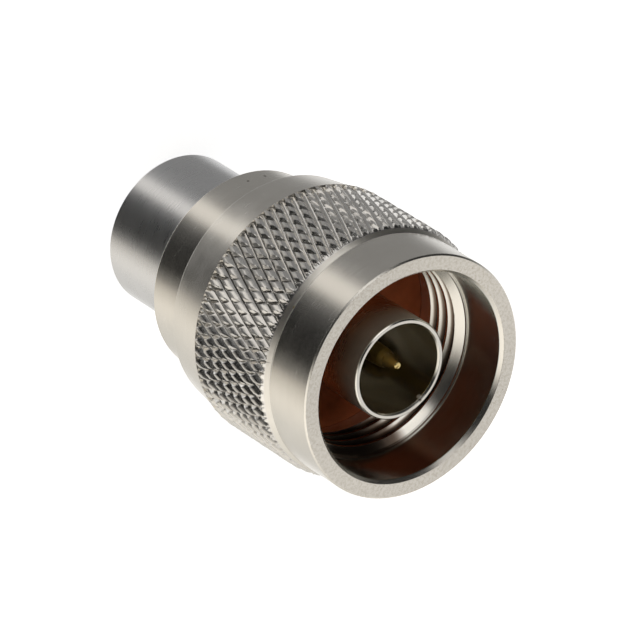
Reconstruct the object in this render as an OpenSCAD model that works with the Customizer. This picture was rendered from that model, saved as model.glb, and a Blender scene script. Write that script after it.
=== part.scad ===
// Type N coaxial plug termination: a knurled coupling nut that turns on a
// turned body, with the 7 mm coaxial line and its 50 ohm load inside.
// Millimetres. The axis is Z, the flat rear end stands on z = 0 and the
// mating mouth faces up.

/* [Overall] */
// Height from the flat rear end to the front face of the coupling nut
total_h = 30.0; // [29.0:0.1:31.0]
// How far the outer contact's rim sits behind the nut's front face
rim_recess = 1.5; // [1.0:0.1:2.0]
// Radial running clearance between the nut and the housing it turns on
nut_clear = 0.10; // [0.08:0.01:0.14]

/* [Housing] */
// Outside diameter of the plain tail
tail_d = 12.1; // [11.8:0.05:12.3]
// Chamfer on the tail's rear edge
tail_chamfer = 0.10; // [0.05:0.05:0.3]

/* [Coupling nut] */
// Height of the nut's rear edge above the rear end
nut_rear_z = 8.8; // [8.0:0.1:9.5]
// Diameter of the narrow rear band
band1_d = 16.2; // [16.0:0.1:16.6]
// Length of the narrow rear band
band1_l = 4.4; // [3.8:0.1:4.8]
// Diameter where the second band begins
band2_d = 18.7; // [18.2:0.1:19.0]
// Diameter where the second band meets the knurl
band2_front_d = 19.8; // [19.4:0.1:20.0]
// Length of the second band
band2_l = 3.7; // [3.2:0.1:4.2]
// Diameter over the knurl
knurl_d = 20.1; // [20.0:0.05:20.4]
// Length of the knurl
knurl_l = 8.1; // [7.6:0.1:8.5]
// Diameter of the smooth front collar
collar_d = 19.1; // [18.8:0.1:19.6]
// Width of the relief groove between the knurl and the collar
groove_w = 0.5; // [0.3:0.1:0.7]
// Depth of the relief groove below the collar
groove_depth = 0.15; // [0.05:0.05:0.3]
// Chamfer on the collar's front and rear edges
collar_chamfer = 0.20; // [0.1:0.05:0.3]

/* [Nut bore] */
// Diameter of the smooth counterbore at the mouth
mouth_d = 16.2; // [16.0:0.05:16.4]
// Depth of the counterbore from the front face
mouth_depth = 4.2; // [3.9:0.1:4.5]
// Minor diameter of the 5/8-24 UNEF coupling thread
thread_minor_d = 14.8; // [14.7:0.05:15.0]
// Depth from the front face at which the thread ends
thread_end_depth = 7.8; // [7.5:0.1:8.2]
// Diameter of the relief behind the thread
relief_d = 16.2; // [16.1:0.05:16.5]

/* [Contacts] */
// Outside diameter of the outer contact
outer_contact_d = 7.9; // [7.8:0.05:8.0]
// Inside diameter of the outer contact, the 7 mm air line
line_d = 7.0; // [6.9:0.05:7.05]
// Depth of the gasket's face behind the outer contact's rim
gasket_depth = 8.2; // [8.0:0.1:8.6]
// Gasket thickness
gasket_t = 1.5; // [1.2:0.1:1.8]
// Gasket outside diameter, pressed in past the thread
gasket_d = 15.95; // [15.6:0.05:15.95]
// Diameter of the flange behind the gasket, which passes through the thread
flange_d = 14.6; // [14.0:0.1:14.7]
// Diameter of the pin
pin_d = 1.65; // [1.6:0.01:1.68]
// Diameter of the centre conductor behind the pin
inner_d = 3.04; // [3.0:0.01:3.1]
// Distance of the pin's tip behind the outer contact's rim
tip_recess = 0.35; // [0.2:0.05:0.6]
// Distance of the pin's shoulder behind the outer contact's rim
shoulder_recess = 8.6; // [8.2:0.1:9.0]

/* [Hidden] */
fine = 128;

rim_z = total_h - rim_recess;
tail_r = tail_d / 2;
band1_r = band1_d / 2;
band2_z = nut_rear_z + band1_l;
knurl_z = band2_z + band2_l;
groove_z = knurl_z + knurl_l;
collar_z = groove_z + groove_w;
collar_r = collar_d / 2;
groove_r = collar_r - groove_depth;

gasket_z = rim_z - gasket_depth;          // the gasket's front face
seat_z = gasket_z - gasket_t;             // the flange's front face
flange_t = 1.6;
flange_z = seat_z - flange_t;             // the flange's rear face
flange_r = flange_d / 2;
boss_r = outer_contact_d / 2 + 0.20;      // low boss that centres the gasket
boss_z = gasket_z - 0.1;
nut_play = 0.2;
nut_shoulder_z = flange_z - nut_play;     // where the nut pulls on the flange
nut_bore_r = tail_r + nut_clear;
thread_end_z = total_h - thread_end_depth;
mouth_z = total_h - mouth_depth;
lead_in = 0.5;

ring_z = nut_rear_z + 4.9;                // snap ring groove, low edge
ring_t = 0.9;
ring_in_r = tail_r - 0.50;
ring_out_r = tail_r + 0.65;
ring_gap = 28;                            // opening of the split ring, degrees

spigot_r = 4.6;
spigot_z = flange_z - 3.6;
line_r = line_d / 2;
bead_z0 = spigot_z + 1.6;
bead_z1 = bead_z0 + 2.8;
socket_r = 2.1;
socket_z = spigot_z - 1.8;
res_r = 1.5;
res_z0 = 2.6;
res_z1 = socket_z + 1.5;
ground_z1 = 5.4;
ground_r = 4.0;
plug_r = 4.6;
plug_t = 1.6;
plug_recess = 0.12;

// Body of revolution about Z from [radius, height] points
module turned(points) rotate_extrude($fn = fine) polygon(points);

// Knurled nut: turned outside, mouth counterbore, thread, relief for the
// flange, shoulder and running bore with a groove for the snap ring
module coupling_nut() color([0.80, 0.77, 0.71]) turned([
    [nut_bore_r, nut_rear_z + 0.15],
    [nut_bore_r + 0.15, nut_rear_z],
    [band1_r - 0.12, nut_rear_z],
    [band1_r, nut_rear_z + 0.12],
    [band1_r, band2_z - 0.1],
    [band2_d / 2 - 0.1, band2_z],
    [band2_d / 2, band2_z + 0.12],
    [band2_front_d / 2, knurl_z],
    [knurl_d / 2, knurl_z + 0.12],
    [knurl_d / 2, groove_z - 0.12],
    [groove_r, groove_z],
    [groove_r, collar_z],
    [collar_r - collar_chamfer, collar_z],
    [collar_r, collar_z + collar_chamfer],
    [collar_r, total_h - collar_chamfer],
    [collar_r - collar_chamfer, total_h],
    [mouth_d / 2 + 0.25, total_h],
    [mouth_d / 2, total_h - 0.3],
    [mouth_d / 2, mouth_z],
    [mouth_d / 2 - 0.05, mouth_z],
    [thread_minor_d / 2, mouth_z - lead_in],
    [thread_minor_d / 2, thread_end_z],
    [relief_d / 2, thread_end_z - 0.4],
    [relief_d / 2, nut_shoulder_z],
    [nut_bore_r, nut_shoulder_z],
    [nut_bore_r, ring_z + ring_t + 0.1],
    [ring_out_r + 0.25, ring_z + ring_t + 0.1],
    [ring_out_r + 0.25, ring_z - 0.1],
    [nut_bore_r, ring_z - 0.1]
]);

// Split spring ring that holds the nut on the housing
module snap_ring() color([0.62, 0.60, 0.56]) difference() {
    turned([
        [ring_in_r, ring_z], [ring_out_r, ring_z],
        [ring_out_r, ring_z + ring_t], [ring_in_r, ring_z + ring_t]
    ]);
    translate([tail_r, 0, ring_z + ring_t / 2])
        cube([3, 2 * tail_r * sin(ring_gap / 2), ring_t + 1], center = true);
}

// Flat silicone washer that seals against the mating barrel
module face_gasket() color([0.46, 0.13, 0.06]) difference() {
    translate([0, 0, seat_z]) cylinder(h = gasket_t, r = gasket_d / 2, $fn = fine);
    translate([0, 0, seat_z - 1]) cylinder(h = gasket_t + 2, r = boss_r, $fn = fine);
}

// Outer contact sleeve and flange, turned in one piece, with the spigot
// that is pressed into the housing
module front_body() color([0.80, 0.77, 0.71]) turned([
    [line_r, spigot_z],
    [spigot_r - 0.2, spigot_z],
    [spigot_r, spigot_z + 0.2],
    [spigot_r, flange_z],
    [flange_r - 0.2, flange_z],
    [flange_r, flange_z + 0.2],
    [flange_r, seat_z],
    [boss_r, seat_z],
    [boss_r, boss_z],
    [outer_contact_d / 2, boss_z],
    [outer_contact_d / 2, rim_z - 0.08],
    [outer_contact_d / 2 - 0.08, rim_z],
    [line_r + 0.10, rim_z],
    [line_r, rim_z - 0.15]
]);

// Rear housing: the plain tail, the groove for the snap ring, the bore
// round the load and the counterbore for the end plug
module housing() color([0.74, 0.75, 0.77]) turned([
    [plug_r, 0],
    [tail_r - tail_chamfer, 0],
    [tail_r, tail_chamfer],
    [tail_r, ring_z - 0.05],
    [ring_in_r, ring_z - 0.05],
    [ring_in_r, ring_z + ring_t + 0.05],
    [tail_r, ring_z + ring_t + 0.05],
    [tail_r, flange_z],
    [spigot_r, flange_z],
    [spigot_r, spigot_z],
    [line_r, spigot_z],
    [line_r, ground_z1],
    [ground_r, ground_z1],
    [ground_r, plug_t + plug_recess],
    [plug_r, plug_t + plug_recess]
]);

// Centre conductor: pin with a tapered nose, the 3.04 mm line section and
// a rear socket that grips the load
module centre_contact() color([0.85, 0.66, 0.30]) turned([
    [0, res_z1],
    [res_r, res_z1],
    [res_r, socket_z],
    [socket_r, socket_z],
    [socket_r, bead_z0],
    [inner_d / 2, bead_z0],
    [inner_d / 2, rim_z - shoulder_recess - 0.15],
    [inner_d / 2 - 0.15, rim_z - shoulder_recess],
    [pin_d / 2, rim_z - shoulder_recess],
    [pin_d / 2, rim_z - tip_recess - 1.40],
    [pin_d / 2 - 0.10, rim_z - tip_recess - 1.20],
    [0.27, rim_z - tip_recess - 0.06],
    [0.22, rim_z - tip_recess],
    [0, rim_z - tip_recess]
]);

// Low-loss plastic bead that centres the contact in the air line
module support_bead() color([0.93, 0.93, 0.91]) difference() {
    translate([0, 0, bead_z0]) cylinder(h = bead_z1 - bead_z0, r = line_r, $fn = fine);
    translate([0, 0, bead_z0 - 1]) cylinder(h = bead_z1 - bead_z0 + 2, r = inner_d / 2, $fn = fine);
}

// 50 ohm rod resistor, ceramic with plated ends
module load_resistor() color([0.86, 0.84, 0.78])
    translate([0, 0, res_z0]) cylinder(h = res_z1 - res_z0, r = res_r, $fn = fine);

// Ring that grounds the rear end of the load to the housing
module ground_contact() color([0.80, 0.62, 0.32]) difference() {
    translate([0, 0, plug_t + plug_recess])
        cylinder(h = ground_z1 - plug_t - plug_recess, r = ground_r, $fn = fine);
    translate([0, 0, res_z0]) cylinder(h = ground_z1, r = res_r, $fn = fine);
}

// Disc pressed into the rear end
module end_plug() color([0.74, 0.75, 0.77]) turned([
    [0, plug_recess],
    [plug_r - 0.15, plug_recess],
    [plug_r, plug_recess + 0.15],
    [plug_r, plug_t + plug_recess],
    [0, plug_t + plug_recess]
]);

coupling_nut();
snap_ring();
face_gasket();
front_body();
housing();
centre_contact();
support_bead();
load_resistor();
ground_contact();
end_plug();
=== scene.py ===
import bpy
import math
import numpy as np
from mathutils import Matrix, Vector


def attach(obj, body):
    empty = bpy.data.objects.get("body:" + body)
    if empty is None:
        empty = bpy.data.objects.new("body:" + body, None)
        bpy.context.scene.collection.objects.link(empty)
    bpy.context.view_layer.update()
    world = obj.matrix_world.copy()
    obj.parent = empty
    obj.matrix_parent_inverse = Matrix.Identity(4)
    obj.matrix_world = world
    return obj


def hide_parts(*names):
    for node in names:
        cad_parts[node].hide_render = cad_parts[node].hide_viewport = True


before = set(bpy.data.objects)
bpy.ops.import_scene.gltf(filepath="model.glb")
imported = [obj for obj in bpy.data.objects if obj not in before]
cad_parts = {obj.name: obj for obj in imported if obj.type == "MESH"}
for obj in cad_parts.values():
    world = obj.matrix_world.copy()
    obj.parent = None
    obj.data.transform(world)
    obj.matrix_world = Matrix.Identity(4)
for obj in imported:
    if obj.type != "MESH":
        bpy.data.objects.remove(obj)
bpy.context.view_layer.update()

MM = 0.001
TAU = 2 * math.pi
scene = bpy.context.scene

# ---------------------------------------------------------------- camera
cam_data = bpy.data.cameras.new("camera")
cam = bpy.data.objects.new("camera", cam_data)
scene.collection.objects.link(cam)
scene.camera = cam
right = Vector((-0.6127873, -0.5307508, 0.58548724)).normalized()
fwd = Vector((-0.69081764, 0.0, -0.72302904)).normalized()
up = right.cross(fwd).normalized()
if up.dot(Vector((0.38374824, -0.84752793, -0.36665201))) < 0:
    up = -up
cam.matrix_world = Matrix((
    (right.x, up.x, -fwd.x, 0.324898),
    (right.y, up.y, -fwd.y, 0.000015),
    (right.z, up.z, -fwd.z, 0.358708),
    (0, 0, 0, 1)))
cam_data.sensor_width = 36.0
cam_data.lens = 359.93
cam_data.clip_start = 0.01
cam_data.clip_end = 20.0


# ---------------------------------------------------------------- mesh tools
class Skin:
    """Collects rings of points and the faces between them, in millimetres."""

    def __init__(self):
        self.v = []
        self.n = 0
        self.tri = []
        self.quad = []

    def add(self, pts):
        pts = np.asarray(pts, float).reshape(-1, 3)
        ids = np.arange(self.n, self.n + len(pts))
        self.v.append(pts)
        self.n += len(pts)
        return ids

    def ring(self, r, z, m, turn=0.0):
        a = np.arange(m) * TAU / m + turn
        r = np.broadcast_to(np.asarray(r, float), (m,))
        z = np.broadcast_to(np.asarray(z, float), (m,))
        return self.add(np.stack([r * np.cos(a), r * np.sin(a), z], -1))

    def join(self, a, b):
        """Faces between ring a and the next ring b; one may have a multiple of the other's points."""
        na, nb = len(a), len(b)
        if na == nb:
            a2, b2 = np.roll(a, -1), np.roll(b, -1)
            self.quad.append(np.stack([a, a2, b2, b], -1))
        elif nb > na:
            k = nb // na
            h = k // 2
            for i in range(na):
                i2 = (i + 1) % na
                f = [b[(i * k + j) % nb] for j in range(k + 1)]
                t = [(a[i], f[j + 1], f[j]) for j in range(h)]
                t.append((a[i], a[i2], f[h]))
                t += [(a[i2], f[j + 1], f[j]) for j in range(h, k)]
                self.tri.append(np.array(t))
        else:
            k = na // nb
            h = k // 2
            for i in range(nb):
                i2 = (i + 1) % nb
                f = [a[(i * k + j) % na] for j in range(k + 1)]
                t = [(b[i], f[j], f[j + 1]) for j in range(h)]
                t.append((b[i], f[h], b[i2]))
                t += [(b[i2], f[j], f[j + 1]) for j in range(h, k)]
                self.tri.append(np.array(t))

    def centre(self, z, ring, top):
        c = self.add([[0, 0, z]])[0]
        n2 = np.roll(ring, -1)
        cc = np.full(len(ring), c)
        self.tri.append(np.stack([ring, n2, cc], -1) if top else np.stack([n2, ring, cc], -1))

    def lean(self, z0, slope):
        """Shear the points ahead of z0 toward -Y."""
        for v in self.v:
            v[:, 1] -= slope * np.maximum(v[:, 2] - z0, 0.0)

    def mesh(self, name, angle=30.0, body=None, replaces=None, slot=None, mat=None):
        v = np.concatenate(self.v) * MM
        tri = np.concatenate([np.asarray(t).reshape(-1, 3) for t in self.tri]) if self.tri else np.zeros((0, 3), int)
        quad = np.concatenate([np.asarray(q).reshape(-1, 4) for q in self.quad]) if self.quad else np.zeros((0, 4), int)
        me = bpy.data.meshes.new(name)
        nl = 3 * len(tri) + 4 * len(quad)
        me.vertices.add(len(v))
        me.vertices.foreach_set("co", v.astype(np.float32).ravel())
        me.loops.add(nl)
        loops = np.concatenate([tri.ravel(), quad.ravel()]).astype(np.int32)
        me.loops.foreach_set("vertex_index", loops)
        me.polygons.add(len(tri) + len(quad))
        starts = np.concatenate([np.arange(len(tri)) * 3, 3 * len(tri) + np.arange(len(quad)) * 4])
        me.polygons.foreach_set("loop_start", starts.astype(np.int32))
        me.polygons.foreach_set("use_smooth", np.ones(len(starts), bool))
        me.update(calc_edges=True)
        me.validate()
        normals = corner_normals(v, tri, quad, angle)
        me.normals_split_custom_set(normals)
        ob = bpy.data.objects.new(name, me)
        scene.collection.objects.link(ob)
        if mat:
            me.materials.append(mat)
        if body:
            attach(ob, body)
        if replaces:
            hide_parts(replaces)
        return ob


def corner_normals(v, tri, quad, angle):
    """Area weighted corner normals that stay apart across edges sharper than the angle."""
    def poly_normal(p):
        n = np.zeros((len(p), 3))
        k = p.shape[1]
        for i in range(1, k - 1):
            n += np.cross(v[p[:, i]] - v[p[:, 0]], v[p[:, i + 1]] - v[p[:, 0]])
        return n * 0.5
    fn = np.concatenate([poly_normal(tri) if len(tri) else np.zeros((0, 3)),
                         poly_normal(quad) if len(quad) else np.zeros((0, 3))])
    area = np.linalg.norm(fn, axis=1)
    unit = fn / np.maximum(area, 1e-20)[:, None]
    cv = np.concatenate([tri.ravel(), quad.ravel()])
    cf = np.concatenate([np.repeat(np.arange(len(tri)), 3), len(tri) + np.repeat(np.arange(len(quad)), 4)])
    order = np.argsort(cv, kind="stable")
    sv = cv[order]
    first = np.searchsorted(sv, np.arange(len(v)))
    last = np.searchsorted(sv, np.arange(len(v)), side="right")
    count = last - first
    out = np.zeros((len(cv), 3))
    cosa = math.cos(math.radians(angle))
    big = int(count.max())
    base = first[cv]
    num = count[cv]
    for k in range(big):
        ok = k < num
        other = np.zeros(len(cv), int)
        other[ok] = cf[order[base[ok] + k]]
        near = ok & ((unit[cf] * unit[other]).sum(1) >= cosa)
        out[near] += fn[other[near]]
    ln = np.linalg.norm(out, axis=1)
    bad = ln < 1e-20
    out[bad] = unit[cf[bad]]
    ln[bad] = 1
    return out / ln[:, None]


def rounded(points, steps=4, closed=True):
    """Points are (r, z) or (r, z, corner radius). Returns the outline with its corners rounded."""
    n = len(points)
    out = []
    for i, p in enumerate(points):
        rad = p[2] if len(p) > 2 else 0.0
        q = np.array(p[:2], float)
        if rad <= 0 or (not closed and i in (0, n - 1)):
            out.append(q)
            continue
        a = np.array(points[i - 1][:2], float) - q
        b = np.array(points[(i + 1) % n][:2], float) - q
        la, lb = np.linalg.norm(a), np.linalg.norm(b)
        a, b = a / la, b / lb
        ang = math.acos(max(-1, min(1, float(a @ b))))
        if ang > math.pi - 0.02:
            out.append(q)
            continue
        t = min(rad / math.tan(ang / 2), 0.48 * la, 0.48 * lb)
        rr = t * math.tan(ang / 2)
        bis = (a + b) / np.linalg.norm(a + b)
        c = q + bis * rr / math.sin(ang / 2)
        s, e = q + a * t - c, q + b * t - c
        sweep = math.pi - ang
        sgn = 1 if s[0] * e[1] - s[1] * e[0] > 0 else -1
        for k in range(steps + 1):
            w = sgn * sweep * k / steps
            out.append(c + np.array([s[0] * math.cos(w) - s[1] * math.sin(w),
                                     s[0] * math.sin(w) + s[1] * math.cos(w)]))
    keep = [out[0]]
    for q in out[1:]:
        if np.linalg.norm(q - keep[-1]) > 1e-4:
            keep.append(q)
    return keep


def turned(name, points, m=256, closed=True, steps=4, lean=(0.0, 0.0), **kw):
    s = Skin()
    prof = rounded(points, steps, closed)
    if closed:
        rings = [s.ring(r, z, m) for r, z in prof]
        for a, b in zip(rings, rings[1:] + rings[:1]):
            s.join(a, b)
    else:
        inner = [q for q in prof if q[0] > 1e-6]
        rings = [s.ring(r, z, m) for r, z in inner]
        for a, b in zip(rings, rings[1:]):
            s.join(a, b)
        s.centre(prof[0][1], rings[0], top=False)
        s.centre(prof[-1][1], rings[-1], top=True)
    s.lean(*lean)
    return s.mesh(name, **kw)


# ---------------------------------------------------------------- materials
def new_material(name):
    m = bpy.data.materials.new(name)
    m.use_nodes = True
    nt = m.node_tree
    nt.nodes.clear()
    out = nt.nodes.new("ShaderNodeOutputMaterial")
    bsdf = nt.nodes.new("ShaderNodeBsdfPrincipled")
    nt.links.new(bsdf.outputs[0], out.inputs[0])
    return m, nt, bsdf


class Graph:
    """Short hand for wiring shader nodes."""

    def __init__(self, nt):
        self.nt = nt

    def put(self, sock, val):
        if val is None:
            return
        if hasattr(val, "is_linked") or isinstance(val, bpy.types.NodeSocket):
            self.nt.links.new(val, sock)
        else:
            sock.default_value = val

    def math(self, op, a, b=None, c=None, clamp=False):
        n = self.nt.nodes.new("ShaderNodeMath")
        n.operation = op
        n.use_clamp = clamp
        self.put(n.inputs[0], a)
        if b is not None:
            self.put(n.inputs[1], b)
        if c is not None:
            self.put(n.inputs[2], c)
        return n.outputs[0]

    def xyz(self, v):
        n = self.nt.nodes.new("ShaderNodeSeparateXYZ")
        self.put(n.inputs[0], v)
        return n.outputs[0], n.outputs[1], n.outputs[2]

    def vec(self, x, y, z):
        n = self.nt.nodes.new("ShaderNodeCombineXYZ")
        for s, v in zip(n.inputs, (x, y, z)):
            self.put(s, v)
        return n.outputs[0]

    def noise(self, vec, scale, detail=2.0, rough=0.5, dist=0.0):
        n = self.nt.nodes.new("ShaderNodeTexNoise")
        n.noise_dimensions = "3D"
        self.put(n.inputs["Vector"], vec)
        n.inputs["Scale"].default_value = scale
        n.inputs["Detail"].default_value = detail
        n.inputs["Roughness"].default_value = rough
        n.inputs["Distortion"].default_value = dist
        return n.outputs["Fac"] if "Fac" in n.outputs else n.outputs[0]

    def voronoi(self, vec, scale, rand=1.0):
        n = self.nt.nodes.new("ShaderNodeTexVoronoi")
        self.put(n.inputs["Vector"], vec)
        n.inputs["Scale"].default_value = scale
        n.inputs["Randomness"].default_value = rand
        return n.outputs["Distance"], n.outputs["Color"]

    def ramp(self, fac, stops, mode="LINEAR"):
        n = self.nt.nodes.new("ShaderNodeValToRGB")
        n.color_ramp.interpolation = mode
        el = n.color_ramp.elements
        while len(el) > 1:
            el.remove(el[-1])
        el[0].position = stops[0][0]
        el[0].color = rgba(stops[0][1])
        for p, c in stops[1:]:
            e = el.new(p)
            e.color = rgba(c)
        self.put(n.inputs[0], fac)
        return n.outputs[0]

    def mix(self, fac, a, b, kind="RGBA", blend="MIX"):
        n = self.nt.nodes.new("ShaderNodeMix")
        n.data_type = kind
        if kind == "RGBA":
            n.blend_type = blend
            self.put(n.inputs[0], fac)
            self.put(n.inputs[6], rgba(a) if not isinstance(a, bpy.types.NodeSocket) else a)
            self.put(n.inputs[7], rgba(b) if not isinstance(b, bpy.types.NodeSocket) else b)
            return n.outputs[2]
        self.put(n.inputs[0], fac)
        self.put(n.inputs[2], a)
        self.put(n.inputs[3], b)
        return n.outputs[0]

    def map(self, v, a, b, c, d, smooth=False):
        n = self.nt.nodes.new("ShaderNodeMapRange")
        n.interpolation_type = "SMOOTHSTEP" if smooth else "LINEAR"
        self.put(n.inputs[0], v)
        for s, x in zip(n.inputs[1:5], (a, b, c, d)):
            s.default_value = x
        return n.outputs[0]

    def bump(self, height, dist, strength=1.0, normal=None):
        n = self.nt.nodes.new("ShaderNodeBump")
        n.inputs["Strength"].default_value = strength
        n.inputs["Distance"].default_value = dist
        self.put(n.inputs["Height"], height)
        if normal is not None:
            self.put(n.inputs["Normal"], normal)
        return n.outputs[0]

    def near(self, p, spot, inner, outer):
        """One inside a small blob at the given point, none outside it."""
        n = self.nt.nodes.new("ShaderNodeVectorMath")
        n.operation = "DISTANCE"
        self.put(n.inputs[0], p)
        n.inputs[1].default_value = spot
        return self.map(n.outputs["Value"], inner, outer, 1.0, 0.0, True)

    def tint(self, fac, col, by):
        """The colour multiplied by another, as far as the factor says."""
        return self.mix(fac, col, by, blend="MULTIPLY")

    def object_mm(self):
        """Object coordinates in millimetres, the distance from the axis, and the unit vector round it."""
        tc = self.nt.nodes.new("ShaderNodeTexCoord")
        sc = self.nt.nodes.new("ShaderNodeVectorMath")
        sc.operation = "SCALE"
        self.nt.links.new(tc.outputs["Object"], sc.inputs[0])
        sc.inputs["Scale"].default_value = 1000.0
        x, y, z = self.xyz(sc.outputs[0])
        r = self.math("SQRT", self.math("ADD", self.math("MULTIPLY", x, x), self.math("MULTIPLY", y, y)))
        rs = self.math("MAXIMUM", r, 0.001)
        return sc.outputs[0], x, y, z, r, self.math("DIVIDE", x, rs), self.math("DIVIDE", y, rs)


def rgba(c):
    if isinstance(c, (int, float)):
        return (c, c, c, 1.0)
    return tuple(c) + (1.0,) if len(c) == 3 else tuple(c)


def turned_metal(name, tint, dark, rough, aniso=0.5, grain=0.0006, spread=0.05, around=6.0, spots=0.0, shade=None):
    """Plated, turned metal: fine lines round the axis in colour, roughness and height, with soft clouding."""
    m, nt, bsdf = new_material(name)
    g = Graph(nt)
    p, x, y, z, r, ux, uy = g.object_mm()
    run = g.math("ADD", g.math("MULTIPLY", z, 1.0), g.math("MULTIPLY", r, 1.31))
    fine = g.noise(g.vec(g.math("MULTIPLY", ux, around * 0.5), g.math("MULTIPLY", uy, around * 0.5),
                         g.math("MULTIPLY", run, 14.0)), 1.0, 3.0, 0.65)
    broad = g.noise(g.vec(g.math("MULTIPLY", ux, around * 0.25), g.math("MULTIPLY", uy, around * 0.25),
                          g.math("MULTIPLY", run, 2.2)), 1.0, 2.0, 0.5)
    cloud = g.noise(p, 0.55, 4.0, 0.55)
    speck = g.noise(p, 5.5, 3.0, 0.6)
    tonef = g.math("ADD", g.math("MULTIPLY", fine, 0.5), g.math("MULTIPLY", cloud, 0.5))
    col = g.mix(g.map(tonef, 0.35, 0.65, 0.0, 1.0), dark, tint)
    if spots > 0:
        dots = g.map(speck, 0.68, 0.78, 0.0, spots)
        col = g.mix(dots, col, tuple(0.55 * c for c in dark))
    bsdf.inputs["Metallic"].default_value = 1.0
    ro = g.math("ADD", g.map(fine, 0.3, 0.7, rough - spread * 0.5, rough + spread * 0.5),
                g.map(cloud, 0.3, 0.7, -spread * 0.4, spread * 0.4))
    if shade is not None:
        col, ro = shade(g, p, z, r, col, ro)
    nt.links.new(col, bsdf.inputs["Base Color"])
    nt.links.new(ro, bsdf.inputs["Roughness"])
    bsdf.inputs["Anisotropic"].default_value = aniso
    bsdf.inputs["Anisotropic Rotation"].default_value = 0.25
    tan = nt.nodes.new("ShaderNodeTangent")
    tan.direction_type = "RADIAL"
    tan.axis = "Z"
    nt.links.new(tan.outputs[0], bsdf.inputs["Tangent"])
    h = g.math("ADD", g.math("MULTIPLY", fine, 0.7), g.math("MULTIPLY", broad, 0.6))
    nt.links.new(g.bump(h, grain * MM), bsdf.inputs["Normal"])
    return m


def polar(r, deg, z):
    return (r * math.cos(math.radians(deg)), r * math.sin(math.radians(deg)), z)


def nut_shade(g, p, z, r, col, ro):
    """Painted shade in the thread roots and on one side of the thread and counterbore, a duller knurl, a painted
    highlight on the collar's rear edge, and a few small marks.
    """
    # painted shade: the deeper flanks and roots of the thread are darkened
    painted_shade_roots = g.math("MULTIPLY", g.map(r, 7.50, 7.68, 0.0, 1.0, True), g.map(r, 8.06, 8.07, 1.0, 0.0))
    painted_shade_roots = g.math("MULTIPLY", painted_shade_roots, g.math("MULTIPLY", g.map(z, 21.9, 22.0, 0.0, 1.0), g.map(z, 25.20, 25.26, 1.0, 0.0)))
    col = g.tint(painted_shade_roots, col, (0.22, 0.17, 0.14))
    # painted shade: a wedge of the thread and counterbore round azimuth 124 degrees is darkened, more so on the thread
    low = g.math("ADD", g.math("MULTIPLY", g.math("DIVIDE", g.xyz(p)[0], r), math.cos(math.radians(124))),
                 g.math("MULTIPLY", g.math("DIVIDE", g.xyz(p)[1], r), math.sin(math.radians(124))))
    painted_shade_side = g.math("MULTIPLY", g.map(low, 0.875, 0.945, 0.0, 1.0, True), g.map(r, 8.13, 8.16, 1.0, 0.0))
    col = g.tint(g.math("MULTIPLY", painted_shade_side, g.map(z, 21.9, 22.0, 0.0, 1.0)), col, (0.42, 0.35, 0.31))
    painted_shade_side = g.math("MULTIPLY", painted_shade_side, g.math("MULTIPLY", g.map(z, 21.9, 22.0, 0.0, 1.0), g.map(z, 25.9, 26.0, 1.0, 0.0)))
    col = g.tint(painted_shade_side, col, (0.36, 0.33, 0.31))
    bore = g.math("MULTIPLY", g.map(r, 8.13, 8.16, 1.0, 0.0), g.map(z, 26.0, 26.1, 0.0, 1.0))
    col = g.tint(bore, col, (0.80, 0.85, 0.86))
    knurl = g.math("MULTIPLY", g.map(r, 9.5, 9.6, 0.0, 1.0),
                   g.math("MULTIPLY", g.map(z, 16.9, 17.0, 0.0, 1.0), g.map(z, 25.21, 25.24, 1.0, 0.0)))
    rub = g.noise(p, 3.2, 3.0, 0.6)
    ro = g.mix(knurl, ro, g.map(rub, 0.3, 0.7, 0.15, 0.26), kind="FLOAT")
    col = g.tint(knurl, col, (0.975, 0.99, 1.03))
    tops = g.math("MULTIPLY", knurl, g.map(r, 9.99, 10.02, 0.0, 1.0))
    ro = g.mix(tops, ro, g.map(rub, 0.3, 0.7, 0.42, 0.60), kind="FLOAT")
    slope = g.math("MULTIPLY", g.math("MULTIPLY", g.map(z, 25.18, 25.24, 0.0, 1.0), g.map(z, 25.46, 25.50, 1.0, 0.0)),
                   g.map(r, 9.2, 9.3, 0.0, 1.0))
    ro = g.mix(slope, ro, 0.34, kind="FLOAT")
    # painted highlight: the rounded edge between relief groove and collar is given a near-white colour so it reads as a
    # bright line
    edge = g.math("MULTIPLY", g.math("MULTIPLY", g.map(z, 25.49, 25.51, 0.0, 1.0), g.map(z, 25.73, 25.76, 1.0, 0.0)),
                  g.map(r, 9.2, 9.3, 0.0, 1.0))
    col = g.mix(edge, col, (0.95, 0.94, 0.92))
    col = g.tint(g.near(p, polar(9.43, 1.5, 25.6), 0.06, 0.20), col, (0.75, 0.60, 0.28))
    col = g.tint(g.near(p, polar(8.10, -46.4, 10.10), 0.05, 0.14), col, (0.35, 0.30, 0.30))
    col = g.tint(g.near(p, polar(8.10, -57.8, 9.99), 0.06, 0.15), col, (0.30, 0.28, 0.28))
    face = g.map(z, 29.94, 29.98, 0.0, 1.0)
    mottle = g.noise(p, 4.0, 4.0, 0.65)
    col = g.tint(g.math("MULTIPLY", face, g.map(mottle, 0.42, 0.62, 0.0, 1.0, True)), col, (0.90, 0.89, 0.875))
    fleck = g.noise(p, 2.3, 2.0, 0.5)
    col = g.tint(g.math("MULTIPLY", face, g.map(fleck, 0.68, 0.74, 0.0, 1.0, True)), col, (0.80, 0.78, 0.76))
    for deg, h in ((-132.0, 28.7), (-151.0, 28.65), (-141.0, 27.2), (-166.0, 27.9)):
        col = g.mix(g.near(p, polar(8.1, deg, h), 0.02, 0.09), col, (0.95, 0.90, 0.84))
    return col, ro


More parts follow.
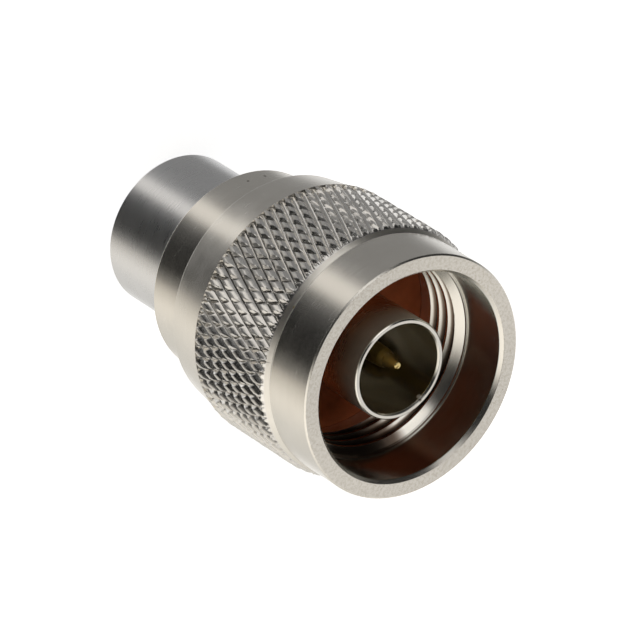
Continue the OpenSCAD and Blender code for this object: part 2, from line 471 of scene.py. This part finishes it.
def contact_shade(g, p, z, r, col, ro):
    """Duller inside with a painted glint on the inner rim, painted shade browner with depth outside, with fine specks.
    """
    inside = g.map(r, 3.53, 3.58, 1.0, 0.0)
    ro = g.mix(inside, ro, 0.19, kind="FLOAT")
    col = g.tint(inside, col, (1.0, 0.97, 0.90))
    # painted highlight: a white spot on the inner rim of the tube
    painted_glint = g.near(p, polar(3.56, 165.0, 28.2), 0.09, 0.25)
    col = g.mix(painted_glint, col, (0.96, 0.94, 0.90))
    ro = g.mix(painted_glint, ro, 0.62, kind="FLOAT")
    col = g.tint(g.near(p, polar(3.62, 162.5, 28.45), 0.05, 0.16), col, (0.30, 0.26, 0.22))
    # painted shade: the outer wall of the tube is browner and darker deeper down, broken up by specks
    painted_depth_shade = g.math("MULTIPLY", g.map(r, 3.90, 3.92, 0.0, 1.0), g.map(z, 25.8, 28.0, 1.0, 0.40, True))
    speck = g.noise(p, 7.0, 3.0, 0.65)
    painted_depth_shade = g.math("MULTIPLY", painted_depth_shade, g.map(speck, 0.60, 0.74, 1.0, 0.55, True))
    col = g.tint(painted_depth_shade, col, (0.76, 0.62, 0.46))
    ro = g.math("ADD", ro, g.math("MULTIPLY", g.map(r, 3.90, 3.92, 0.0, 1.0), g.map(z, 25.8, 28.3, 0.10, 0.20)))
    return col, ro


def pin_shade(g, p, z, r, col, ro):
    """Painted shade: dull and dark on the body down in the tube and behind the shoulder, brighter at the nose."""
    # painted shade: the body behind the nose is darkened and dulled
    body = g.map(z, 26.5, 27.3, 1.0, 0.0, True)
    col = g.tint(body, col, (0.56, 0.52, 0.36))
    ro = g.mix(body, ro, 0.37, kind="FLOAT")
    col = g.tint(g.math("MULTIPLY", g.map(r, 0.05, 0.10, 1.0, 0.0, True), g.map(z, 28.0, 28.05, 0.0, 1.0)), col, (0.16, 0.12, 0.08))
    # painted shade: the conductor behind the shoulder, deep in the part, is made nearly black
    col = g.tint(g.map(z, 19.95, 20.6, 1.0, 0.0, True), col, (0.10, 0.085, 0.05))
    return col, ro


nickel = turned_metal("nickel_turned", (0.82, 0.785, 0.72), (0.76, 0.725, 0.66), 0.24, aniso=0.55, grain=0.0006,
                      spots=0.12, shade=nut_shade)
nickel_body = turned_metal("nickel_contact", (0.80, 0.775, 0.72), (0.74, 0.715, 0.66), 0.16, aniso=0.35, grain=0.0003,
                           shade=contact_shade)
steel = turned_metal("steel_turned", (0.78, 0.775, 0.77), (0.72, 0.715, 0.71), 0.285, aniso=0.55, grain=0.0006, spots=0.15)
gold = turned_metal("gold_plate", (0.83, 0.66, 0.30), (0.76, 0.59, 0.25), 0.23, aniso=0.3, grain=0.0003, shade=pin_shade)
spring = turned_metal("spring_steel_turned", (0.55, 0.53, 0.50), (0.48, 0.46, 0.43), 0.30, aniso=0.2, grain=0.0003)


def silicone_material():
    m, nt, bsdf = new_material("silicone_rubber")
    g = Graph(nt)
    p, x, y, z, r, ux, uy = g.object_mm()
    cloud = g.noise(p, 0.8, 4.0, 0.55)
    fine = g.noise(p, 14.0, 3.0, 0.6)
    col = g.mix(g.map(cloud, 0.3, 0.7, 0.0, 1.0), (0.62, 0.15, 0.05), (0.76, 0.195, 0.065))
    nt.links.new(col, bsdf.inputs["Base Color"])
    nt.links.new(g.map(fine, 0.3, 0.7, 0.42, 0.58), bsdf.inputs["Roughness"])
    bsdf.inputs["IOR"].default_value = 1.42
    nt.links.new(g.bump(g.math("ADD", g.math("MULTIPLY", fine, 0.4), cloud), 0.004 * MM), bsdf.inputs["Normal"])
    return m


def plastic_material(name, a, b, rough, bump):
    m, nt, bsdf = new_material(name)
    g = Graph(nt)
    p, x, y, z, r, ux, uy = g.object_mm()
    cloud = g.noise(p, 0.9, 3.0, 0.5)
    fine = g.noise(p, 18.0, 3.0, 0.6)
    nt.links.new(g.mix(g.map(cloud, 0.3, 0.7, 0.0, 1.0), a, b), bsdf.inputs["Base Color"])
    nt.links.new(g.map(fine, 0.3, 0.7, rough - 0.06, rough + 0.06), bsdf.inputs["Roughness"])
    nt.links.new(g.bump(fine, bump * MM), bsdf.inputs["Normal"])
    return m


silicone = silicone_material()
bead_plastic = plastic_material("bead_plastic", (0.78, 0.77, 0.72), (0.84, 0.83, 0.79), 0.45, 0.003)
ceramic = plastic_material("ceramic_rod", (0.62, 0.60, 0.53), (0.70, 0.68, 0.61), 0.35, 0.004)


# ---------------------------------------------------------------- coupling nut
M1 = 268                       # points round the smooth parts
STARTS = 67                    # knurl starts in each direction
SUB = 16                       # points per knurl start
M4 = STARTS * SUB
KA, KB = 0.4518, 0.4112        # periods per mm of height of the two knurl families
K_ROW = 1 / (SUB * (KA + KB) / 2)         # one row up is one point along either family
K_ROWS = 57
K_Z0 = 21.0 - 28 * K_ROW
K_Z1 = K_Z0 + K_ROWS * K_ROW
K_R = 10.05


def groove(x, where, cut):
    """A lopsided groove's depth, as a share of its deepest, x periods from its bottom."""
    return np.interp((x + 0.37) % 1.0 - 0.37, where, cut)


def smooth_noise(phi, z, seed, fp, fz, terms=10):
    rng = np.random.default_rng(seed)
    out = np.zeros_like(phi)
    for _ in range(terms):
        kp = rng.integers(1, fp + 1)
        kz = rng.uniform(-fz, fz)
        out += np.cos(kp * phi + TAU * kz * z + rng.uniform(0, TAU))
    return out / math.sqrt(terms / 2)


# the deeper family has a steep side, a narrow floor and a long side; the other a long side and a steep one
DEPTH_A, DEPTH_B = 0.270, 0.220
SHAPE_A = (np.array([-3, -1, 0, 1, 2, 4, 6, 8, 10]) / 16, [0.0, 0.80, 0.94, 1.0, 0.98, 0.66, 0.39, 0.17, 0.0])
SHAPE_B = (np.array([-5, 0, 4]) / 16, [0.0, 1.0, 0.0])


def knurl_radius(phi, z):
    a = STARTS * phi / TAU - KA * (z - 21.0)
    b = STARTS * phi / TAU + KB * (z - 21.0)
    da = DEPTH_A * (1 + 0.10 * smooth_noise(phi, z, 5, 9, 0.15))
    db = DEPTH_B * (1 + 0.16 * smooth_noise(phi, z, 8, 14, 0.20))
    cut = np.maximum(da * groove(a, *SHAPE_A), db * groove(b, *SHAPE_B))
    body = K_R - 0.012 - cut + 0.006 * smooth_noise(phi, z, 3, 60, 0.8)
    return np.minimum(body, 10.04 - np.maximum(z - 24.91, 0.0))


def thread_radius(t):
    """Radius of the 5/8-24 thread at t turns past the middle of its crest."""
    d = np.abs(t - np.round(t))
    return np.interp(d, [0, 0.105, 0.135, 0.415, 0.445, 0.5], [7.40, 7.40, 7.425, 7.915, 7.94, 7.94])


THREAD_KNOTS = np.array([0, 0.105, 0.135, 0.415, 0.445, 0.555, 0.585, 0.865, 0.895])
PITCH = 25.4 / 24
CREST_Z = 24.20                # a crest's height at azimuth 180
TH_LO, TH_HI = 21.8, 25.76


def cone_radius(z):
    return np.interp(z, [21.8, 22.2, 25.27, 25.76], [8.03, 7.40, 7.40, 7.98])


def thread_columns(s, m):
    """One strip of points up the thread for each azimuth, then the faces between neighbouring strips."""
    cols = []
    for i in range(m):
        phi = TAU * i / m
        off = CREST_Z + PITCH * (phi - math.pi) / TAU
        zs = [TH_LO, 22.2, 25.27, TH_HI]
        for k in range(-6, 7):
            zs += [off + PITCH * (k + q) for q in THREAD_KNOTS]
        zs = np.array(sorted(q for q in zs if TH_LO <= q <= TH_HI))
        th = thread_radius((zs - off) / PITCH)
        co = cone_radius(zs)
        pts = [(zs[0], max(th[0], co[0]))]
        for j in range(1, len(zs)):
            d0, d1 = th[j - 1] - co[j - 1], th[j] - co[j]
            if d0 * d1 < 0:
                w = d0 / (d0 - d1)
                zc = zs[j - 1] + w * (zs[j] - zs[j - 1])
                pts.append((zc, co[j - 1] + w * (co[j] - co[j - 1])))
            pts.append((zs[j], max(th[j], co[j])))
        keep = [pts[0]]
        for q in pts[1:-1]:
            if q[0] - keep[-1][0] > 0.012 and pts[-1][0] - q[0] > 0.012:
                keep.append(q)
        keep.append(pts[-1])
        arr = np.array([[r * math.cos(phi), r * math.sin(phi), z] for z, r in keep])
        cols.append((s.add(arr), np.array(keep)))
    tris = []
    for i in range(m):
        ia, pa = cols[i]
        ib, pb = cols[(i + 1) % m]
        shift = PITCH / m
        j = k = 0
        while j < len(ia) - 1 or k < len(ib) - 1:
            if k == len(ib) - 1:
                adv = True
            elif j == len(ia) - 1:
                adv = False
            else:
                da = abs(pa[j + 1][0] + shift - pb[k][0]) + abs(pa[j + 1][1] - pb[k][1])
                db = abs(pb[k + 1][0] - shift - pa[j][0]) + abs(pb[k + 1][1] - pa[j][1])
                adv = da <= db
            if adv:
                tris.append((ia[j], ia[j + 1], ib[k]))
                j += 1
            else:
                tris.append((ia[j], ib[k + 1], ib[k]))
                k += 1
    s.tri.append(np.array(tris))
    low = np.array([c[0][0] for c in cols])
    high = np.array([c[0][-1] for c in cols])
    return low, high


def make_nut():
    s = Skin()
    # outside, from the rear bore edge up to the knurl
    rear = rounded([(6.15, 9.05), (6.15, 8.95), (6.30, 8.80), (8.10, 8.80, 0.14), (8.10, 13.16, 0.05),
                    (9.35, 13.20, 0.12), (9.90, 16.88)], 4, closed=False)
    rings = [s.ring(r, z, M1) for r, z in rear]
    first = rings[0]
    edge = s.ring(K_R - 0.05, 16.92, M4)
    for a, b in zip(rings, rings[1:]):
        s.join(a, b)
    s.join(rings[-1], edge)
    # knurl: rows a whole number of half cells apart, sheared so that both families run along the grid
    shear = (KA - KB) / 2 * TAU / STARTS
    base = np.arange(M4) * TAU / M4
    last = edge
    for j in range(K_ROWS + 1):
        z = K_Z0 + K_ROW * j
        phi = base + shear * (z - 21.0)
        rad = knurl_radius(phi, np.full_like(phi, z))
        ids = s.add(np.stack([rad * np.cos(phi), rad * np.sin(phi), np.full(M4, z)], -1))
        if j == 0:
            s.join(last, ids)
        else:
            # split each cell along the groove that crosses it
            i = np.arange(M4)
            zc = z - K_ROW / 2
            pc = base + shear * (zc - 21.0) + math.pi / M4
            a_ = STARTS * pc / TAU - KA * (zc - 21.0)
            b_ = STARTS * pc / TAU + KB * (zc - 21.0)
            ga = DEPTH_A * groove(a_, *SHAPE_A) >= DEPTH_B * groove(b_, *SHAPE_B)
            lo0, lo1 = last, np.roll(last, -1)
            hi0, hi1 = ids, np.roll(ids, -1)
            s.tri.append(np.stack([lo0, lo1, hi1], -1)[ga])
            s.tri.append(np.stack([lo0, hi1, hi0], -1)[ga])
            s.tri.append(np.stack([lo0, lo1, hi0], -1)[~ga])
            s.tri.append(np.stack([lo1, hi1, hi0], -1)[~ga])
        last = ids
    # relief groove, collar, face and counterbore
    front = rounded([(9.49, 25.46), (9.45, 25.49), (9.45, 25.51), (9.46, 25.515), (9.553, 25.73, 0.02),
                     (9.55, 29.88, 0.05), (9.43, 30.0, 0.02), (8.36, 30.0, 0.04), (8.11, 29.72, 0.08),
                     (8.10, 25.96, 0.02), (7.98, 25.93, 0.02), (7.98, 25.76)], 4, closed=False)
    rings = [s.ring(r, z, M1) for r, z in front[:-1]]
    s.join(last, rings[0])
    for a, b in zip(rings, rings[1:]):
        s.join(a, b)
    low, high = thread_columns(s, M1)
    s.join(rings[-1], high)
    inside = rounded([(8.03, 21.8), (8.03, 17.0, 0.10), (6.15, 17.0, 0.06), (6.15, 14.8), (6.95, 14.8), (6.95, 13.6),
                      (6.15, 13.6)], 3, closed=False)[1:]
    rings = [s.ring(r, z, M1) for r, z in inside]
    s.join(low, rings[0])
    for a, b in zip(rings, rings[1:]):
        s.join(a, b)
    s.join(rings[-1], first)
    return s.mesh("nut_turned", 24.0, "nut", "coupling_nut", "nickel", nickel)


make_nut()

# ---------------------------------------------------------------- body pieces
turned("tail_housing", [
    (4.60, 0.0, 0.05), (5.95, 0.0, 0.03), (6.05, 0.10, 0.05), (6.05, 13.65, 0.02), (5.55, 13.65), (5.55, 14.65),
    (6.05, 14.65, 0.02), (6.05, 17.2), (4.60, 17.2), (4.60, 13.6), (3.50, 13.6), (3.50, 5.40), (4.00, 5.40),
    (4.00, 1.72), (4.60, 1.72)], 256, body="plug_body", replaces="housing", slot="steel", mat=steel)

turned("outer_contact", [
    (3.50, 13.6), (4.40, 13.6), (4.60, 13.8), (4.60, 17.2), (7.10, 17.2), (7.30, 17.4), (7.30, 18.8, 0.05),
    (4.15, 18.8), (4.15, 20.2, 0.04), (3.95, 20.2, 0.04), (3.95, 28.40, 0.06), (3.84, 28.50, 0.04), (3.62, 28.50, 0.05),
    (3.50, 28.34, 0.08)], 256, body="plug_body", replaces="front_body", slot="contact_nickel", mat=nickel_body)

turned("gasket", [
    (4.15, 18.80, 0.05), (8.015, 18.80, 0.10), (8.015, 20.30, 0.02), (4.15, 20.30, 0.10)], 256,
    body="plug_body", replaces="face_gasket", slot="silicone", mat=silicone)

turned("pin_contact", [
    (0, 13.3), (1.50, 13.3), (1.50, 11.8), (2.10, 11.8, 0.08), (2.10, 15.2, 0.05), (1.52, 15.2), (1.52, 19.75, 0.05),
    (1.37, 19.9, 0.03), (0.825, 19.9, 0.05), (0.82, 24.6, 1.0), (0.74, 26.50, 0.3), (0.27, 28.09, 0.05),
    (0.22, 28.15, 0.02), (0.09, 28.15, 0.02), (0.05, 28.10), (0, 28.09)], 128, closed=False, lean=(15.3, 0.0133),
    body="plug_body", replaces="centre_contact", slot="gold", mat=gold)

turned("rear_plug", [
    (0, 0.16), (0.25, 0.12, 0.05), (4.45, 0.12, 0.04), (4.60, 0.27, 0.04), (4.60, 1.72), (0, 1.72)], 192, closed=False,
    body="plug_body", replaces="end_plug", slot="steel", mat=steel)

for node, mat in (("snap_ring", spring), ("support_bead", bead_plastic), ("load_resistor", ceramic),
                  ("ground_contact", gold)):
    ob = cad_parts[node]
    if not ob.material_slots:
        ob.data.materials.append(mat)
    for slot in ob.material_slots:
        slot.material = mat

# ---------------------------------------------------------------- floor
fm = bpy.data.meshes.new("floor")
h = 1.2
fm.from_pydata([(-h, -h, -0.00002), (h, -h, -0.00002), (h, h, -0.00002), (-h, h, -0.00002)], [], [(0, 1, 2, 3)])
floor = bpy.data.objects.new("floor", fm)
scene.collection.objects.link(floor)
fmat, fnt, fb = new_material("floor_white")
fb.inputs["Base Color"].default_value = (0.85, 0.85, 0.85, 1)
fb.inputs["Roughness"].default_value = 0.9
fb.inputs["Specular IOR Level"].default_value = 0.0
fb.inputs["Emission Color"].default_value = (1, 1, 1, 1)
fb.inputs["Emission Strength"].default_value = 0.75
fm.materials.append(fmat)
floor.visible_glossy = False
floor.visible_diffuse = False
floor.visible_shadow = False

# ---------------------------------------------------------------- light
world = bpy.data.worlds.new("studio")
scene.world = world
world.use_nodes = True
wt = world.node_tree
wt.nodes.clear()
wo = wt.nodes.new("ShaderNodeOutputWorld")
bg = wt.nodes.new("ShaderNodeBackground")
wt.links.new(bg.outputs[0], wo.inputs[0])
g = Graph(wt)
tc = wt.nodes.new("ShaderNodeTexCoord")
dx, dy, dz = g.xyz(tc.outputs["Generated"])
az = g.math("ADD", g.math("DIVIDE", g.math("ARCTAN2", dy, dx), TAU), 0.5)


def at(deg):
    return (deg + 180.0) / 360.0


def lin(v):
    v = v / 255.0
    return v / 12.92 if v <= 0.04045 else ((v + 0.055) / 1.055) ** 2.4


def strip(v, warm=0.0):
    k = lin(v) / 0.74
    return (k * (1 + warm), k, k * (1 - 1.3 * warm))


around = g.ramp(az, [
    (at(-180), strip(238)), (at(-150), strip(214)), (at(-128), strip(122)), (at(-64), strip(119)),
    (at(-50), strip(128)), (at(-36), strip(210, 0.03)), (at(-27), strip(206, 0.03)), (at(-14), strip(92)), (at(-2), strip(52)),
    (at(14), strip(27)), (at(38), strip(27)), (at(52), strip(92)), (at(64), strip(186, 0.035)), (at(82), strip(218, 0.02)),
    (at(112), strip(198)), (at(140), strip(190)), (at(164), strip(232)), (at(180), strip(238))], "EASE")
# the part of the room above: one broad soft light, dark round the camera
cdir = -fwd
toward = g.math("ADD", g.math("ADD", g.math("MULTIPLY", dx, cdir.x), g.math("MULTIPLY", dy, cdir.y)),
                g.math("MULTIPLY", dz, cdir.z))
above = g.ramp(g.map(toward, -1.0, 1.0, 0.0, 1.0), [
    (0.0, strip(225, 0.02)), (0.47, strip(212, 0.02)), (0.53, strip(198, 0.02)), (0.63, strip(110, 0.01)),
    (0.74, strip(58)), (0.85, strip(44)), (1.0, strip(36))], "EASE")
side_a = g.map(dy, 0.34, 0.72, 0.0, 1.0, True)
side_b = g.math("MULTIPLY", g.map(dy, -0.80, -0.48, 1.0, 0.0, True), g.map(dz, -0.02, 0.16, 0.0, 1.0, True))
above = g.mix(side_a, above, strip(245, 0.01))
room = g.mix(g.map(dz, 0.10, 0.50, 0.0, 1.0, True), around, above)
horizon = g.math("MULTIPLY", g.map(dz, -0.22, -0.02, 0.0, 1.0, True), g.map(dz, 0.05, 0.22, 1.0, 0.0, True))
horizon = g.math("MULTIPLY", horizon, g.map(dx, 0.0, 0.45, 0.75, 0.0, True))
room = g.mix(horizon, room, strip(205))
ahead = g.math("MULTIPLY", g.map(dz, -0.17, -0.10, 0.0, 1.0, True), g.map(dz, -0.04, 0.03, 1.0, 0.0, True))
room = g.mix(g.math("MULTIPLY", ahead, g.map(dx, 0.30, 0.55, 0.0, 0.9, True)), room, strip(252))


def patch(direction, a, b):
    """One inside a soft round patch of the room in the given direction."""
    q = Vector(direction).normalized()
    dot = g.math("ADD", g.math("ADD", g.math("MULTIPLY", dx, q.x), g.math("MULTIPLY", dy, q.y)), g.math("MULTIPLY", dz, q.z))
    return g.map(dot, a, b, 0.0, 1.0, True)


room = g.mix(side_b, room, strip(50))
room = g.mix(patch((-0.42, -0.75, 0.50), 0.78, 0.93), room, strip(28))
room = g.mix(patch((0.38, -0.47, 0.796), 0.925, 0.965), room, strip(245, 0.01))
room = g.mix(g.map(dz, -0.975, -0.925, 1.0, 0.0, True), room, strip(232))
room = g.tint(g.map(dy, 0.05, 0.50, 0.0, 1.0, True), room, (1.01, 0.99, 0.945))
wt.links.new(room, bg.inputs["Color"])
bg.inputs["Strength"].default_value = 1.0

scene.view_settings.view_transform = "Standard"
scene.view_settings.look = "None"
scene.view_settings.exposure = 0.0
scene.view_settings.gamma = 1.0
scene.cycles.use_denoising = True
scene.cycles.denoiser = "OPENIMAGEDENOISE"
scene.cycles.max_bounces = 12
scene.cycles.glossy_bounces = 10
scene.cycles.diffuse_bounces = 4
scene.cycles.sample_clamp_indirect = 4.0

bpy.context.view_layer.update()
